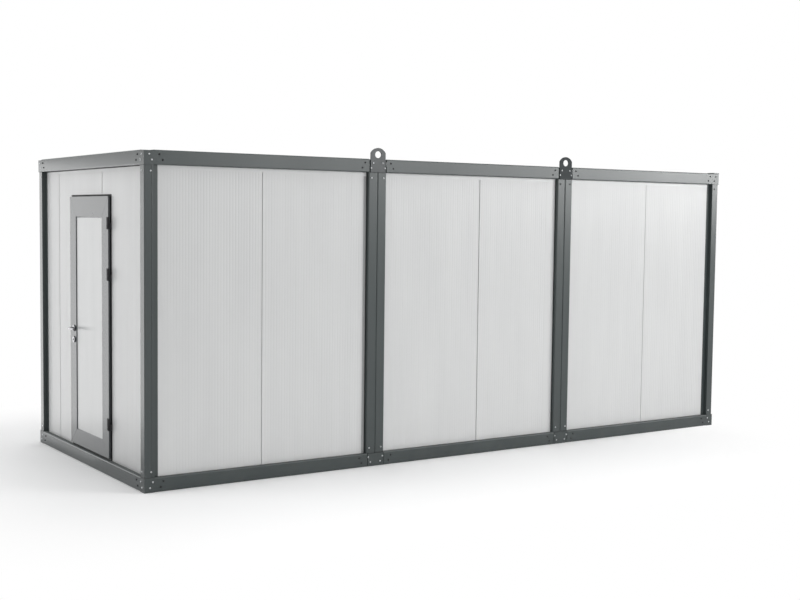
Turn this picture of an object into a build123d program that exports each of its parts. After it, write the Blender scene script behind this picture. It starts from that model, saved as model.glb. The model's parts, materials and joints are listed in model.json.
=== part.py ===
"""Portable site cabin: three bolted steel frame modules side by side, clad with sandwich panels.

Millimetres, +Z up. The origin is the middle of the footprint at ground level. X runs along the
cabin with the door end at -X, and the front long wall faces -Y.
"""
import os

from build123d import *

# Modules and overall size
module_count = 3
module_length = 1996
module_gap = 6
cabin_width = 2400
cabin_height = 2500

# Steel frame
frame_sheet = 4
frame_bend = 6
post_width = 80
post_inset = 4
post_flange = 40
tube_corner = 7
rail_height = 108
rail_depth = 80
rail_lip = 22
rail_ledge = 30
block_plate = 8
block_drop = 6

# Plates over the module joints
joint_set_back = 8
joint_plate = 10
joint_plate_width = 143
coupling_inset = 3
seal_inset = 20
seal_width = 40
lug_height = 198
lug_rise = 41
lug_hole = 56
lug_hole_below_top = 54

# Sandwich panels
panel_recess = 40
panel_thickness = 40
panel_seam = 1
seam_chamfer = 2.5
tongue_depth = 12
tongue_width = 12
tongue_play = 1
bay_1_seam = 975
bay_2_seam = 1063
bay_3_seam = 1044
narrow_seam = 430
over_door_seam_share = 0.779
trim_sheet = 1.5
trim_leg = 28
trim_play = 0.5

# Floor and roof
deck_play = 2
roof_core = 52
roof_rib_height = 34
roof_rib_base = 64
roof_rib_top = 30
roof_ribs = 6

# Door
leaf_left = 768
leaf_width = 875
leaf_bottom = 126
over_door = 214
leaf_face = 17
leaf_lap = 15
leaf_thickness = 48
leaf_rebate = 23
stile_width = 147
top_rail_width = 169
bottom_rail_width = 131
bead_width = 14
bead_bevel = 7
infill_recess = 12
infill_thickness = 24
door_gap = 7
door_lip = 14
door_lip_sheet = 3
lip_cover = 8
sill_height = 12
sill_bevel = 5

# Door furniture
hinge_height = 95
hinge_radius = 8
hinge_offset = 12
hinge_depth = 12
hinge_pin_radius = 4
hinge_pin_length = 30
hinge_play = 0.4
hinge_plate = 3
hinge_plate_width = 32
hinge_block_gap = 6
hinge_from_bottom = 268
hinge_from_top = 210
hinge_pair = 397
lever_from_bottom = 962
lever_from_edge = 92
lever_length = 128
lever_radius = 9.5
lever_end_bevel = 1.5
lever_stand_off = 50
lever_play = 0.5
rose_radius = 26
rose_height = 9
key_below_lever = 93
key_radius = 8.5
key_proud = 4
key_play = 0.3

# Places that follow from the sizes above
module_pitch = module_length + module_gap
cabin_length = module_count * module_pitch - module_gap
half_length = cabin_length / 2
half_width = cabin_width / 2
wall_base = rail_height
wall_top = cabin_height - rail_height
wall_height = wall_top - wall_base
panel_middle = panel_recess + panel_thickness / 2
panel_back = panel_recess + panel_thickness
module_starts = [index * module_pitch - half_length for index in range(module_count)]
joint_places = [start - module_gap / 2 for start in module_starts[1:]]
rail_length = module_length - 2 * post_width
cross_length = cabin_width - 2 * post_width

# Wall planes: x runs left to right seen from outside, y runs inwards from the frame's outer face
front_wall = Plane(origin=(-half_length, -half_width, wall_base), x_dir=(1, 0, 0), z_dir=(0, 0, 1))
door_end = Plane(origin=(-half_length, half_width, wall_base), x_dir=(0, -1, 0), z_dir=(0, 0, 1))

os.makedirs("parts", exist_ok=True)


def save(piece, name):
    """Label a finished piece and write it."""
    piece.part.label = name
    export_step(piece.part, f"parts/{name}.step")


def rail_section(outer, base, ledge, bend):
    """Cold-formed rail: outer web, lipped top flange, and a bottom flange with a ledge for a deck."""
    half = frame_sheet / 2
    with BuildSketch() as section:
        with BuildLine():
            FilletPolyline(
                (outer + rail_depth - half, base + rail_height - rail_lip),
                (outer + rail_depth - half, base + rail_height - half),
                (outer + half, base + rail_height - half),
                (outer + half, base + half),
                (outer + rail_depth + ledge, base + half),
                radius=(0, bend, bend),
            )
        trace(line_width=frame_sheet)
    return section.sketch


def panel_section(start, end, grooved, tongued):
    """Plan of one sandwich panel between two places along its wall."""
    with BuildSketch() as section:
        with Locations(((start + end) / 2, panel_middle)):
            Rectangle(end - start, panel_thickness)
        seams = section.vertices().filter_by_position(Axis.X, end, end) if tongued else ShapeList()
        if grooved:
            seams += section.vertices().filter_by_position(Axis.X, start, start)
        if seams:
            chamfer(seams, length=seam_chamfer)
        if tongued:
            with Locations((end + tongue_depth / 2, panel_middle)):
                Rectangle(tongue_depth, tongue_width)
        if grooved:
            groove_depth = tongue_depth + tongue_play
            with Locations((start + groove_depth / 2, panel_middle)):
                Rectangle(groove_depth, tongue_width + 2 * tongue_play, mode=Mode.SUBTRACT)
    return section.sketch


def trim_section(leg):
    """Channel that wraps a panel edge: web across the edge, one leg on each face."""
    half = trim_sheet / 2
    with BuildSketch() as section:
        with BuildLine():
            Polyline(
                (leg, panel_recess - half),
                (half, panel_recess - half),
                (half, panel_back + half),
                (leg, panel_back + half),
            )
        trace(line_width=trim_sheet)
    return section.sketch


# Corner posts: one bent sheet with a face on each side and flanges that lap the panels
def corner_post_section():
    """Plan of the corner post, with the cabin's outer corner at its zero."""
    half = frame_sheet / 2
    face = post_inset + half
    side = post_width - half
    lap = panel_recess - half
    tip = post_width + post_flange
    with BuildSketch() as section:
        with BuildLine():
            FilletPolyline(
                (tip, lap), (side, lap), (side, face), (face, face), (face, side), (lap, side), (lap, tip),
                radius=(0, 0, frame_bend, 0, 0),
            )
        trace(line_width=frame_sheet)
    return section.sketch


with BuildPart() as corner_posts:
    with BuildSketch(front_wall):
        add(corner_post_section())
    extrude(amount=wall_height)
    mirror(about=Plane.YZ)
    mirror(about=Plane.XZ)

save(corner_posts, "corner_posts")


# Joint posts: a square tube on each side of every module joint
joint_post_depth = rail_depth - post_inset
joint_post_places = [
    (joint + side * (module_gap + post_width) / 2, post_inset + joint_post_depth / 2 - half_width)
    for joint in joint_places
    for side in (-1, 1)
]

with BuildPart() as front_joint_posts:
    with BuildSketch(Plane.XY.offset(wall_base)):
        with Locations(*joint_post_places):
            RectangleRounded(post_width, joint_post_depth, tube_corner)
            Rectangle(post_width - 2 * frame_sheet, joint_post_depth - 2 * frame_sheet, mode=Mode.SUBTRACT)
    extrude(amount=wall_height)

with BuildPart() as back_joint_posts:
    mirror(front_joint_posts.part, about=Plane.XZ)

save(front_joint_posts, "front_joint_posts")
save(back_joint_posts, "back_joint_posts")


# Long rails: one per module along the front and the back, top and bottom
rail_planes = [Plane.YZ.offset(start + post_width) for start in module_starts]

with BuildPart() as front_bottom_rails:
    with BuildSketch(*rail_planes):
        add(rail_section(-half_width, 0, rail_ledge, frame_bend))
    extrude(amount=rail_length)

with BuildPart() as front_top_rails:
    with BuildSketch(*rail_planes):
        add(rail_section(-half_width, wall_top, rail_ledge, frame_bend))
    extrude(amount=rail_length)

with BuildPart() as back_bottom_rails:
    mirror(front_bottom_rails.part, about=Plane.XZ)

with BuildPart() as back_top_rails:
    mirror(front_top_rails.part, about=Plane.XZ)

save(front_bottom_rails, "front_bottom_rails")
save(front_top_rails, "front_top_rails")
save(back_bottom_rails, "back_bottom_rails")
save(back_top_rails, "back_top_rails")


# Cross rails: one at each end of every module, with plain flanges
cross_plane = Plane(origin=(0, half_width - post_width, 0), x_dir=(1, 0, 0), z_dir=(0, -1, 0))

with BuildPart() as door_end_bottom_rail:
    with BuildSketch(cross_plane):
        add(rail_section(-half_length, 0, 0, frame_bend))
    extrude(amount=cross_length)

with BuildPart() as door_end_top_rail:
    with BuildSketch(cross_plane):
        add(rail_section(-half_length, wall_top, 0, frame_bend))
    extrude(amount=cross_length)

with BuildPart() as far_end_bottom_rail:
    mirror(door_end_bottom_rail.part, about=Plane.YZ)

with BuildPart() as far_end_top_rail:
    mirror(door_end_top_rail.part, about=Plane.YZ)

with BuildPart() as joint_bottom_rails:
    with BuildSketch(cross_plane):
        for start in module_starts[1:]:
            add(rail_section(start, 0, 0, 0))
    extrude(amount=cross_length)
    mirror(about=Plane.YZ)

with BuildPart() as joint_top_rails:
    with BuildSketch(cross_plane):
        for start in module_starts[1:]:
            add(rail_section(start, wall_top, 0, 0))
    extrude(amount=cross_length)
    mirror(about=Plane.YZ)

save(door_end_bottom_rail, "door_end_bottom_rail")
save(door_end_top_rail, "door_end_top_rail")
save(far_end_bottom_rail, "far_end_bottom_rail")
save(far_end_top_rail, "far_end_top_rail")
save(joint_bottom_rails, "joint_bottom_rails")
save(joint_top_rails, "joint_top_rails")


# Corner blocks: plated boxes, open inwards where the bolts are reached, set back where a joint plate covers them
block_places = []
for start in module_starts:
    for middle in (start + post_width / 2, start + module_length - post_width / 2):
        at_joint = half_length - abs(middle) > post_width
        block_places.append((middle, joint_set_back if at_joint else 0))


def corner_blocks(base, height):
    """A block at every module corner, with its hollow opening towards the cabin's middle line."""
    with BuildPart() as blocks:
        with BuildSketch(Plane.XY.offset(base)):
            for middle, set_back in block_places:
                with Locations((middle, (post_width + set_back) / 2 - half_width)):
                    Rectangle(post_width, post_width - set_back)
        extrude(amount=height)
        with BuildSketch(Plane.XY.offset(base + block_plate)):
            for middle, set_back in block_places:
                with Locations((middle, (post_width + set_back) / 2 + block_plate - half_width)):
                    Rectangle(post_width - 2 * block_plate, post_width - set_back)
        extrude(amount=height - 2 * block_plate, mode=Mode.SUBTRACT)
        mirror(about=Plane.XZ)
    return blocks


bottom_corner_blocks = corner_blocks(0, rail_height)
top_corner_blocks = corner_blocks(wall_top, rail_height - block_drop)
save(bottom_corner_blocks, "bottom_corner_blocks")
save(top_corner_blocks, "top_corner_blocks")


# Lifting lugs over the top joints, and coupling plates over the bottom joints
joint_front = Plane.XZ.offset(half_width - joint_set_back)
lug_top = wall_top + lug_height
lug_shoulder = lug_top - lug_rise


def lug_section():
    """Elevation of one lug plate: straight sides under one arc, and the hole for a shackle."""
    side = joint_plate_width / 2
    with BuildSketch() as section:
        with BuildLine():
            Polyline((side, lug_shoulder), (side, wall_top), (-side, wall_top), (-side, lug_shoulder))
            ThreePointArc((-side, lug_shoulder), (0, lug_top), (side, lug_shoulder))
        make_face()
        with Locations((0, lug_top - lug_hole_below_top)):
            Circle(lug_hole / 2, mode=Mode.SUBTRACT)
    return section.sketch


with BuildPart() as lifting_lugs:
    with BuildSketch(joint_front):
        with Locations(*[(joint, 0) for joint in joint_places]):
            add(lug_section())
    extrude(amount=joint_plate)
    mirror(about=Plane.XZ)

coupling_height = rail_height - 2 * coupling_inset

with BuildPart() as coupling_plates:
    with BuildSketch(joint_front):
        with Locations(*[(joint, rail_height / 2) for joint in joint_places]):
            Rectangle(joint_plate_width, coupling_height)
    extrude(amount=joint_plate)
    mirror(about=Plane.XZ)

save(lifting_lugs, "lifting_lugs")
save(coupling_plates, "coupling_plates")


# Joint seals: a strip all the way round in the gap between two modules
seal_outside = 2 * seal_inset
seal_inside = 2 * (seal_inset + seal_width)

with BuildPart() as joint_seals:
    with BuildSketch(*[Plane.YZ.offset(joint - module_gap / 2) for joint in joint_places]):
        with Locations((0, cabin_height / 2)):
            Rectangle(cabin_width - seal_outside, cabin_height - seal_outside)
            Rectangle(cabin_width - seal_inside, cabin_height - seal_inside, mode=Mode.SUBTRACT)
    extrude(amount=module_gap)

save(joint_seals, "joint_seals")


# Long walls: two panels in each bay, under the corner flanges or in a channel at the joint posts
panel_height = wall_height - trim_sheet
front_seams = (bay_1_seam, bay_2_seam, bay_3_seam)

for index in range(module_count):
    bay_left = index * module_pitch + post_width + (trim_sheet if index else 0)
    bay_right = index * module_pitch + module_length - post_width
    bay_right -= trim_sheet if index < module_count - 1 else 0
    seam = index * module_pitch + front_seams[index]
    with BuildPart() as front_bay:
        with BuildSketch(front_wall):
            add(panel_section(bay_left, seam, False, True))
            add(panel_section(seam + panel_seam, bay_right, True, False))
        extrude(amount=panel_height)
    with BuildPart() as back_bay:
        mirror(front_bay.part, about=Plane.XZ)
    save(front_bay, f"front_wall_bay_{index + 1}")
    save(back_bay, f"back_wall_bay_{index + 1}")


# End walls: they run through behind the long walls' flanges
end_start = panel_recess
end_finish = cabin_width - panel_recess
opening_left = leaf_left - door_lip + lip_cover
opening_right = leaf_left + leaf_width + door_lip - lip_cover
opening_top = wall_top - over_door
wide_seam = opening_left + over_door_seam_share * (opening_right - opening_left)

with BuildPart() as door_end_wall_left:
    with BuildSketch(door_end):
        add(panel_section(end_start, narrow_seam, False, True))
        add(panel_section(narrow_seam + panel_seam, opening_left, True, False))
    extrude(amount=panel_height)

with BuildPart() as door_end_wall_over:
    with BuildSketch(door_end.offset(opening_top - wall_base)):
        add(panel_section(opening_left, wide_seam, False, True))
        add(panel_section(wide_seam + panel_seam, opening_right, True, False))
    extrude(amount=over_door - trim_sheet)

with BuildPart() as door_end_wall_right:
    with BuildSketch(door_end):
        add(panel_section(opening_right, end_finish, False, False))
    extrude(amount=panel_height)

with BuildPart() as far_end_whole:
    with BuildSketch(door_end):
        add(panel_section(end_start, narrow_seam, False, True))
        add(panel_section(narrow_seam + panel_seam, wide_seam, True, True))
        add(panel_section(wide_seam + panel_seam, end_finish, True, False))
    extrude(amount=panel_height)

with BuildPart() as far_end_wall:
    mirror(far_end_whole.part, about=Plane.YZ)

save(door_end_wall_left, "door_end_wall_left")
save(door_end_wall_over, "door_end_wall_over")
save(door_end_wall_right, "door_end_wall_right")
save(far_end_wall, "far_end_wall")


# Edge channels: upright ones at the joint posts, and one under each top rail
with BuildPart() as front_panel_trims:
    for joint in joint_places:
        for side in (-1, 1):
            foot = (joint + side * (module_gap / 2 + post_width), -half_width, wall_base)
            with BuildSketch(Plane(origin=foot, x_dir=(1, 0, 0), z_dir=(0, 0, 1))):
                upright = trim_section(trim_leg)
                add(upright if side > 0 else mirror(upright, about=Plane.YZ, mode=Mode.PRIVATE))
            extrude(amount=wall_height)
    for index, start in enumerate(module_starts):
        left = start + post_width + (trim_leg + trim_play if index else post_flange)
        right = start + module_length - post_width
        right -= trim_leg + trim_play if index < module_count - 1 else post_flange
        with BuildSketch(Plane(origin=(left, -half_width, wall_top), x_dir=(0, 0, -1), z_dir=(1, 0, 0))):
            add(trim_section(trim_leg))
        extrude(amount=right - left)

with BuildPart() as back_panel_trims:
    mirror(front_panel_trims.part, about=Plane.XZ)

end_trim_start = half_width - post_width - post_flange
end_trim = Plane(origin=(-half_length, end_trim_start, wall_top), x_dir=(0, 0, -1), z_dir=(0, -1, 0))

with BuildPart() as end_panel_trims:
    with BuildSketch(end_trim):
        add(trim_section(trim_leg))
    extrude(amount=2 * end_trim_start)
    mirror(about=Plane.YZ)

save(front_panel_trims, "front_panel_trims")
save(back_panel_trims, "back_panel_trims")
save(end_panel_trims, "end_panel_trims")


# Floor decks and roof panels: one of each per module, laid on the ledges of the long rails
deck_length = module_length - 2 * (rail_depth + deck_play)
deck_width = cabin_width - 2 * (rail_depth + deck_play)
deck_thickness = rail_height - frame_sheet
rib_pitch = deck_length / roof_ribs
roof_base = wall_top + frame_sheet

for index, start in enumerate(module_starts):
    middle = start + module_length / 2
    with BuildPart() as floor_deck:
        with BuildSketch(Plane.XY.offset(frame_sheet)):
            with Locations((middle, 0)):
                Rectangle(deck_length, deck_width)
        extrude(amount=deck_thickness)
    with BuildPart() as roof_panel:
        with BuildSketch(Plane.XZ.offset(-deck_width / 2)):
            with Locations((middle, roof_base + roof_core / 2)):
                Rectangle(deck_length, roof_core)
            with Locations((middle, roof_base + roof_core)):
                with GridLocations(rib_pitch, 0, roof_ribs, 1):
                    Polygon(
                        (-roof_rib_base / 2, 0),
                        (roof_rib_base / 2, 0),
                        (roof_rib_top / 2, roof_rib_height),
                        (-roof_rib_top / 2, roof_rib_height),
                        align=None,
                    )
        extrude(amount=deck_width)
    save(floor_deck, f"floor_deck_{index + 1}")
    save(roof_panel, f"roof_panel_{index + 1}")


# Door frame: jambs and head in the wall opening, with a lip over the panels, and a sill between the jambs
door_face = Plane(origin=(-half_length, half_width, 0), x_dir=(0, -1, 0), z_dir=(-1, 0, 0))
leaf_right = leaf_left + leaf_width
leaf_top = opening_top + lip_cover - door_lip
leaf_back = leaf_face + leaf_thickness
body_left = leaf_left + leaf_rebate
body_right = leaf_right - leaf_rebate
body_top = leaf_top - leaf_rebate
clear_left = body_left - door_gap
clear_right = body_right + door_gap
clear_top = body_top + door_gap
lip_face = panel_recess - door_lip_sheet


def at_depth(depth):
    """The door's elevation plane at a depth inwards from the frame's outer face."""
    return door_face.offset(-depth)


def at_level(level):
    """The door's plan plane at a height above the ground."""
    return door_end.offset(level - wall_base)


def upright_rectangle(left, right, bottom, top, mode=Mode.ADD):
    """A rectangle in the elevation plane, given by its sides."""
    with Locations(((left + right) / 2, (bottom + top) / 2)):
        Rectangle(right - left, top - bottom, mode=mode)


with BuildPart() as door_frame:
    with BuildSketch(at_depth(lip_face)):
        upright_rectangle(leaf_left - door_lip, leaf_right + door_lip, wall_base, leaf_top + door_lip)
        upright_rectangle(clear_left, clear_right, wall_base, clear_top, Mode.SUBTRACT)
    extrude(amount=-door_lip_sheet)
    with BuildSketch(at_depth(panel_recess)):
        upright_rectangle(opening_left, opening_right, wall_base, opening_top)
        upright_rectangle(clear_left, clear_right, wall_base, clear_top, Mode.SUBTRACT)
    extrude(amount=-panel_thickness)

with BuildPart() as door_sill:
    with BuildSketch(at_depth(lip_face)):
        upright_rectangle(clear_left, clear_right, wall_base, wall_base + sill_height)
    extrude(amount=lip_face - panel_back)
    chamfer(door_sill.edges().filter_by(Axis.Y).group_by(Axis.Z)[-1], length=sill_bevel)

save(door_frame, "door_frame")
save(door_sill, "door_sill")


# Door leaf: lapped frame, with an infill panel between an outer bevelled edge and an inner bead
glass_left = leaf_left + stile_width
glass_right = leaf_right - stile_width
glass_bottom = leaf_bottom + bottom_rail_width
glass_top = leaf_top - top_rail_width
seat_left = glass_left - bead_width
seat_right = glass_right + bead_width
seat_bottom = glass_bottom - bead_width
seat_top = glass_top + bead_width
infill_face = leaf_face + infill_recess
infill_back = infill_face + infill_thickness
lever_place = leaf_left + lever_from_edge
lever_level = leaf_bottom + lever_from_bottom
key_level = lever_level - key_below_lever

with BuildPart() as door_leaf_frame:
    with BuildSketch(at_depth(leaf_face)):
        upright_rectangle(leaf_left, leaf_right, leaf_bottom, leaf_top)
    extrude(amount=-leaf_lap)
    with BuildSketch(at_depth(leaf_face + leaf_lap)):
        upright_rectangle(body_left, body_right, leaf_bottom, body_top)
    extrude(amount=leaf_lap - leaf_thickness)
    with BuildSketch(at_depth(leaf_face)):
        upright_rectangle(glass_left, glass_right, glass_bottom, glass_top)
    extrude(amount=-infill_recess, mode=Mode.SUBTRACT)
    rim = door_leaf_frame.faces().sort_by(Axis.X)[0].inner_wires()[0].edges()
    chamfer(rim, length=bead_bevel)
    with BuildSketch(at_depth(infill_face)):
        upright_rectangle(seat_left, seat_right, seat_bottom, seat_top)
    extrude(amount=infill_face - leaf_back, mode=Mode.SUBTRACT)
    with BuildSketch(at_depth(leaf_face)):
        with Locations((lever_place, lever_level)):
            Circle(lever_radius + lever_play)
        with Locations((lever_place, key_level)):
            Circle(key_radius + key_play)
    extrude(amount=-leaf_thickness, mode=Mode.SUBTRACT)

with BuildPart() as door_infill:
    with BuildSketch(at_depth(infill_face)):
        upright_rectangle(seat_left, seat_right, seat_bottom, seat_top)
    extrude(amount=-infill_thickness)

with BuildPart() as door_bead:
    with BuildSketch(at_depth(infill_back)):
        upright_rectangle(seat_left, seat_right, seat_bottom, seat_top)
        upright_rectangle(glass_left, glass_right, glass_bottom, glass_top, Mode.SUBTRACT)
    extrude(amount=infill_back - leaf_back)

save(door_leaf_frame, "door_leaf_frame")
save(door_infill, "door_infill")
save(door_bead, "door_bead")


# Hinges: lift-off pairs, the lower half on the frame's lip with a pin, the upper half on the leaf
hinge_place = (leaf_right + hinge_offset, hinge_depth)
knuckle_height = (hinge_height - hinge_play) / 2
block_left = leaf_right + hinge_block_gap
block_right = leaf_right + door_lip
top_hinge = leaf_top - hinge_from_top
hinge_levels = (leaf_bottom + hinge_from_bottom, top_hinge - hinge_pair, top_hinge)

with BuildPart() as hinge_frame_halves:
    for level in hinge_levels:
        with BuildSketch(at_level(level - hinge_height / 2)):
            with Locations(hinge_place):
                Circle(hinge_radius)
            with Locations(((block_left + block_right) / 2, (hinge_depth + lip_face) / 2)):
                Rectangle(block_right - block_left, lip_face - hinge_depth)
        extrude(amount=knuckle_height)
        with BuildSketch(at_level(level - hinge_play / 2)):
            with Locations(hinge_place):
                Circle(hinge_pin_radius)
        extrude(amount=hinge_pin_length)

with BuildPart() as hinge_leaf_halves:
    for level in hinge_levels:
        plate_depth = leaf_face - hinge_plate / 2
        with BuildSketch(at_level(level - hinge_height / 2)):
            with Locations((leaf_right - hinge_plate_width / 2, plate_depth)):
                Rectangle(hinge_plate_width, hinge_plate)
        extrude(amount=hinge_height)
        with BuildSketch(at_level(level + hinge_play / 2)):
            with Locations(hinge_place):
                Circle(hinge_radius)
            with Locations((leaf_right + hinge_offset / 2, plate_depth)):
                Rectangle(hinge_offset, hinge_plate)
        extrude(amount=knuckle_height)
        with BuildSketch(at_level(level + hinge_play / 2)):
            with Locations(hinge_place):
                Circle(hinge_pin_radius + hinge_play)
        extrude(amount=hinge_pin_length, mode=Mode.SUBTRACT)

save(hinge_frame_halves, "hinge_frame_halves")
save(hinge_leaf_halves, "hinge_leaf_halves")


# Lever handles: one mitred bar, out of the leaf on both sides through a round rose
lever_outside = leaf_face - lever_stand_off
lever_inside = leaf_back + lever_stand_off

with BuildPart() as door_levers:
    with BuildLine(at_level(lever_level)) as lever_path:
        Polyline(
            (lever_place + lever_length, lever_outside),
            (lever_place, lever_outside),
            (lever_place, lever_inside),
            (lever_place + lever_length, lever_inside),
        )
    with BuildSketch(Plane(origin=lever_path.line @ 0, z_dir=lever_path.line % 0)):
        Circle(lever_radius)
    sweep(transition=Transition.RIGHT)
    chamfer(door_levers.faces().filter_by(GeomType.PLANE).edges(), length=lever_end_bevel)

with BuildPart() as door_roses:
    for face, outward in ((leaf_face, 1), (leaf_back, -1)):
        with BuildSketch(at_depth(face)):
            with Locations((lever_place, lever_level)):
                Circle(rose_radius)
                Circle(lever_radius + lever_play, mode=Mode.SUBTRACT)
            with Locations((lever_place, key_level)):
                Circle(rose_radius)
        extrude(amount=outward * rose_height)
    with BuildSketch(at_depth(leaf_face - rose_height - key_proud)):
        with Locations((lever_place, key_level)):
            Circle(key_radius)
    extrude(amount=-leaf_thickness - 2 * (rose_height + key_proud))

save(door_levers, "door_levers")
save(door_roses, "door_roses")
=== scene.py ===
"""Looks of the portable site cabin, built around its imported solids.

Sizes are in millimetres, in the part's own frame, until a mesh takes them in metres. The floor, the lamps and
the camera are placed in metres.
"""

import json
import math

import bmesh
import bpy
from mathutils import Matrix, Vector


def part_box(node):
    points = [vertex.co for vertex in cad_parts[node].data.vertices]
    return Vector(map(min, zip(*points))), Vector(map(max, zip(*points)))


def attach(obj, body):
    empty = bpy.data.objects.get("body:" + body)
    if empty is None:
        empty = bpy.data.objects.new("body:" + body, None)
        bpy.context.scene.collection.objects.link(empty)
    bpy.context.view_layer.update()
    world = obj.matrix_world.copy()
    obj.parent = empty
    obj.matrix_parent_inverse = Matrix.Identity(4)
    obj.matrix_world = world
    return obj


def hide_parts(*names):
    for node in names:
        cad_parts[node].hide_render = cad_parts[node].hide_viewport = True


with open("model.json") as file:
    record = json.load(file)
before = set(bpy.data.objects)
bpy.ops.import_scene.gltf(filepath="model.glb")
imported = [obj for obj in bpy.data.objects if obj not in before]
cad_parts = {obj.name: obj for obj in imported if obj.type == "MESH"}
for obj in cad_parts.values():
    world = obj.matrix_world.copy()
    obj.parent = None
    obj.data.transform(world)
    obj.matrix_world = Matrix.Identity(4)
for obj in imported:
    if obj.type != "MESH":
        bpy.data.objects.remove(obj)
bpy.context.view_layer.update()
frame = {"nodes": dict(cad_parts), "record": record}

MM = 0.001


def reach(node, axis):
    """Lowest and highest place of a solid along one axis, in millimetres to a tenth."""
    return [round(corner["XYZ".index(axis)] / MM, 1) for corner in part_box(node)]


# Sizes of the frame and its walls, read from the solids
MODULE_COUNT = 3
HALF_LENGTH = reach("bottom_corner_blocks", "X")[1]
HALF_WIDTH = reach("bottom_corner_blocks", "Y")[1]
RAIL = reach("bottom_corner_blocks", "Z")[1]
CABIN_WIDTH = 2 * HALF_WIDTH
MODULE_PITCH = reach("floor_deck_2", "X")[0] - reach("floor_deck_1", "X")[0]
MODULE_LENGTH = 2 * HALF_LENGTH - (MODULE_COUNT - 1) * MODULE_PITCH
POST = HALF_LENGTH - reach("front_bottom_rails", "X")[1]
POST_FACE = HALF_LENGTH - reach("corner_posts", "X")[1]
WALL_BASE, WALL_TOP = reach("corner_posts", "Z")
PANEL_FACE, PANEL_BACK = (HALF_WIDTH + y for y in reach("front_wall_bay_1", "Y"))
PANEL_TOP = reach("front_wall_bay_1", "Z")[1]
TRIM = WALL_TOP - PANEL_TOP
TRIM_FACE = PANEL_FACE - TRIM
SEAM = 1
FRONT_SEAMS = (975, 1063, 1044)
END_SEAMS = (430, 1453)

# Sizes of the module joints and their plates; a joint's place is the middle of its gap
JOINTS = [k * MODULE_PITCH - (MODULE_PITCH - MODULE_LENGTH) / 2 for k in range(1, MODULE_COUNT)]
JOINT_PLATE_FACE = HALF_WIDTH - reach("lifting_lugs", "Y")[1]
JOINT_PLATE_HALF = reach("lifting_lugs", "X")[1] + HALF_LENGTH - JOINTS[-1]
JOINT_OPENING_HALF = reach("front_joint_posts", "X")[1] + HALF_LENGTH - JOINTS[-1]


def on_door_end(node):
    """A solid's left and right, its face and back, and its bottom and top, seen at the door end."""
    sides = [HALF_WIDTH - y for y in reversed(reach(node, "Y"))]
    depths = [HALF_LENGTH + x for x in reach(node, "X")]
    return sides, depths, reach(node, "Z")


# Sizes of the door
(LEAF_LEFT, LEAF_RIGHT), (LEAF_FACE, LEAF_BACK), (LEAF_BOTTOM, LEAF_TOP) = on_door_end("door_leaf_frame")
(OPENING_LEFT, OPENING_RIGHT), _, (OPENING_TOP, _) = on_door_end("door_end_wall_over")
(_, LIP_RIGHT), (LIP_FACE, _), _ = on_door_end("door_frame")
_, (INFILL_FACE, _), _ = on_door_end("door_infill")
LEAF_LAP_BACK = 32
LEAF_REBATE = 23
STILE, TOP_RAIL, BOTTOM_RAIL = 147, 169, 131
BEAD = 14
BEVEL = 7
HINGE_LEVELS = (394, 1565, 1962)
HINGE_HEIGHT = 95
LEVER_U, LEVER_Z = 860, 1088
KEY_Z = 995

# Each side of the cabin: u runs left to right seen from outside (mirrored at the back and the far end),
# d runs inwards from the frame's outer face
SIDES = {
    "front": lambda u, d, z: (u - HALF_LENGTH, d - HALF_WIDTH, z),
    "back": lambda u, d, z: (u - HALF_LENGTH, HALF_WIDTH - d, z),
    "door_end": lambda u, d, z: (d - HALF_LENGTH, HALF_WIDTH - u, z),
    "far_end": lambda u, d, z: (HALF_LENGTH - d, HALF_WIDTH - u, z),
}
LONG_SIDES = ("front", "back")
END_SIDES = ("door_end", "far_end")
door_place = SIDES["door_end"]


def frame_spans(side):
    """Left and right ends of the frames that stand along one side."""
    if side in END_SIDES:
        return [(0, CABIN_WIDTH)]
    return [(bay * MODULE_PITCH, bay * MODULE_PITCH + MODULE_LENGTH) for bay in range(MODULE_COUNT)]


# Meshes

UP = (0, 0, 1)
SHARP_FROM = 35
AXES = range(3)
BOX_CORNERS = [(x, y, z) for z in (0, 1) for y in (0, 1) for x in (0, 1)]


class Heap:
    """Points and faces of one piece."""

    def __init__(self):
        self.points = []
        self.faces = []

    def add(self, points, faces):
        base = len(self.points)
        self.points += [tuple(point) for point in points]
        self.faces += [tuple(base + index for index in face) for face in faces]


def piece(name, heap, material, body, smooth=None, stands_for=()):
    """Make one object of a heap, on its body, with its material; smooth is the angle above which edges stay
    sharp.
    """
    mesh = bpy.data.meshes.new(name)
    mesh.from_pydata([[c * MM for c in point] for point in heap.points], [], heap.faces)
    work = bmesh.new()
    work.from_mesh(mesh)
    bmesh.ops.recalc_face_normals(work, faces=work.faces)
    work.to_mesh(mesh)
    work.free()
    if smooth is not None:
        mesh.shade_smooth()
        mesh.set_sharp_from_angle(angle=math.radians(smooth))
    mesh.materials.append(material)
    obj = bpy.data.objects.new(name, mesh)
    bpy.context.scene.collection.objects.link(obj)
    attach(obj, body)
    if stands_for:
        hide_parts(*stands_for)


def skin(heap, rings, capped=True):
    """Faces over rings of points, closed at the first and last ring or else running round to the first."""
    count = len(rings[0])
    total = count * len(rings)
    faces = []
    for low in range(0, total - count if capped else total, count):
        high = (low + count) % total
        for k in range(count):
            n = (k + 1) % count
            faces.append((low + k, low + n, high + n, high + k))
    if capped:
        faces.append(tuple(range(count))[::-1])
        faces.append(tuple(range(total - count, total)))
    heap.add([point for ring in rings for point in ring], faces)


def lathe(heap, place, axis, profile, sides, turn=0.0):
    """A turned solid: the profile gives radii and heights along the axis from its place."""
    axis = Vector(axis).normalized()
    across = axis.orthogonal().normalized()
    other = axis.cross(across)
    rings = []
    for radius, height in profile:
        ring = []
        for k in range(sides):
            angle = turn + 2 * math.pi * k / sides
            arm = (across * math.cos(angle) + other * math.sin(angle)) * radius
            ring.append(Vector(place) + axis * height + arm)
        rings.append(ring)
    skin(heap, rings)


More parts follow.
